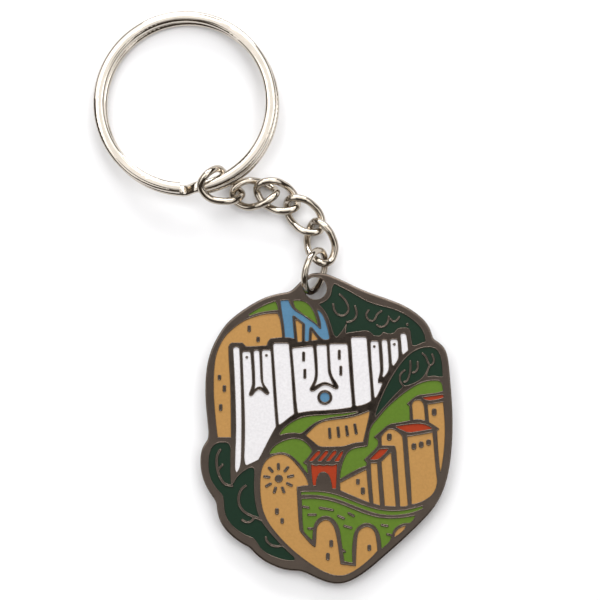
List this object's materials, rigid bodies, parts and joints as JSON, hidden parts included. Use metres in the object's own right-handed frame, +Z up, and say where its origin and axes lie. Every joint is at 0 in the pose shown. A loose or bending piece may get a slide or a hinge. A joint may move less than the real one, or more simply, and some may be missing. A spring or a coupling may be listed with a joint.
{
  "type": "keychain",
  "caption": "Keychain lying flat: an enamelled metal charm with raised lines on a jump ring, curb links and a flat split ring for keys.",
  "frame": {"origin": "centre of the bounding box on the table that the keychain lies on", "axes": "+Y from the charm's tip towards the split ring, +X to the right seen from the enamelled face, +Z up from the table out of the enamelled face"},
  "size_m": [0.0586, 0.0934, 0.0074],
  "materials": {
    "ring_metal": "bright nickel plate",
    "chain_metal": "bright nickel plate",
    "charm_metal": "black nickel plate, satin",
    "enamel_light_green": "soft enamel, glossy, light green",
    "enamel_dark_green": "soft enamel, glossy, dark green",
    "enamel_tan": "soft enamel, glossy, tan",
    "enamel_blue": "soft enamel, glossy, blue",
    "enamel_red": "soft enamel, glossy, red",
    "enamel_white": "soft enamel, glossy, white"
  },
  "bodies": {
    "charm": {"charm_plate": "charm_metal", "enamel_arch": "enamel_tan", "enamel_bridge": "enamel_light_green", "enamel_canopy": "enamel_dark_green", "enamel_column_left": "enamel_white", "enamel_column_right": "enamel_white", "enamel_far_arch": "enamel_tan", "enamel_gate": "enamel_red", "enamel_gate_tile_1": "enamel_red", "enamel_gate_tile_2": "enamel_red", "enamel_gate_tile_3": "enamel_red", "enamel_gate_tile_4": "enamel_red", "enamel_hill_by_river": "enamel_light_green", "enamel_hill_crescent": "enamel_light_green", "enamel_hill_crown": "enamel_light_green", "enamel_hill_rounded": "enamel_light_green", "enamel_house_low": "enamel_tan", "enamel_house_middle": "enamel_tan", "enamel_house_narrow": "enamel_tan", "enamel_house_right": "enamel_tan", "enamel_leaf": "enamel_dark_green", "enamel_left_pillar": "enamel_tan", "enamel_meadow": "enamel_light_green", "enamel_river": "enamel_blue", "enamel_road": "enamel_light_green", "enamel_roof_middle": "enamel_red", "enamel_roof_right": "enamel_red", "enamel_roof_tower": "enamel_red", "enamel_slab_1": "enamel_white", "enamel_slab_2": "enamel_white", "enamel_slab_3": "enamel_white", "enamel_slab_4": "enamel_white", "enamel_slab_5": "enamel_white", "enamel_slab_6": "enamel_white", "enamel_slab_7": "enamel_white", "enamel_slab_wide_left": "enamel_white", "enamel_slab_wide_right": "enamel_white", "enamel_small_pier": "enamel_tan", "enamel_sun_hill": "enamel_tan", "enamel_terrace": "enamel_tan", "enamel_tower_front": "enamel_tan", "enamel_tower_side": "enamel_tan", "enamel_turret": "enamel_tan", "enamel_undergrowth": "enamel_dark_green", "enamel_window": "enamel_blue"},
    "jump_ring": {"jump_ring": "chain_metal"},
    "link_5": {"chain_link_5": "chain_metal"},
    "link_4": {"chain_link_4": "chain_metal"},
    "link_3": {"chain_link_3": "chain_metal"},
    "link_2": {"chain_link_2": "chain_metal"},
    "link_1": {"chain_link_1": "chain_metal"},
    "split_ring": {"split_ring": "ring_metal"}
  },
  "joints": [
    {"name": "jump_ring_tip", "type": "hinge", "parent": "charm", "child": "jump_ring", "pos_m": [0.00694, 0.00372, 0.00245], "axis": [0, 1, 0], "range_deg": [0, 50]},
    {"name": "link_5_swing", "type": "hinge", "parent": "jump_ring", "child": "link_5", "pos_m": [0.00843, 0.00642, 0.00151], "axis": [-0.1139, 0.7576, 0.6427], "range_deg": [-20, 40]},
    {"name": "link_4_swing", "type": "hinge", "parent": "link_5", "child": "link_4", "pos_m": [0.00677, 0.01243, 0.00178], "axis": [-0.475, -0.191, -0.859], "range_deg": [-10, 45]},
    {"name": "link_3_swing", "type": "hinge", "parent": "link_4", "child": "link_3", "pos_m": [0.00248, 0.01593, 0.00157], "axis": [-0.3879, -0.4529, -0.8028], "range_deg": [-20, 45]},
    {"name": "link_2_swing", "type": "hinge", "parent": "link_3", "child": "link_2", "pos_m": [-0.00258, 0.01803, 0.00189], "axis": [-0.2721, -0.6642, -0.6962], "range_deg": [-5, 45]},
    {"name": "link_1_swing", "type": "hinge", "parent": "link_2", "child": "link_1", "pos_m": [-0.00604, 0.01811, 0.00205], "axis": [-0.7341, -0.6781, 0.036], "range_deg": [-10, 45]},
    {"name": "split_ring_tilt", "type": "hinge", "parent": "link_1", "child": "split_ring", "pos_m": [-0.01126, 0.0179, 0.0034], "axis": [0.9777, 0.2089, 0.022], "range_deg": [-3, 25]}
  ]
}
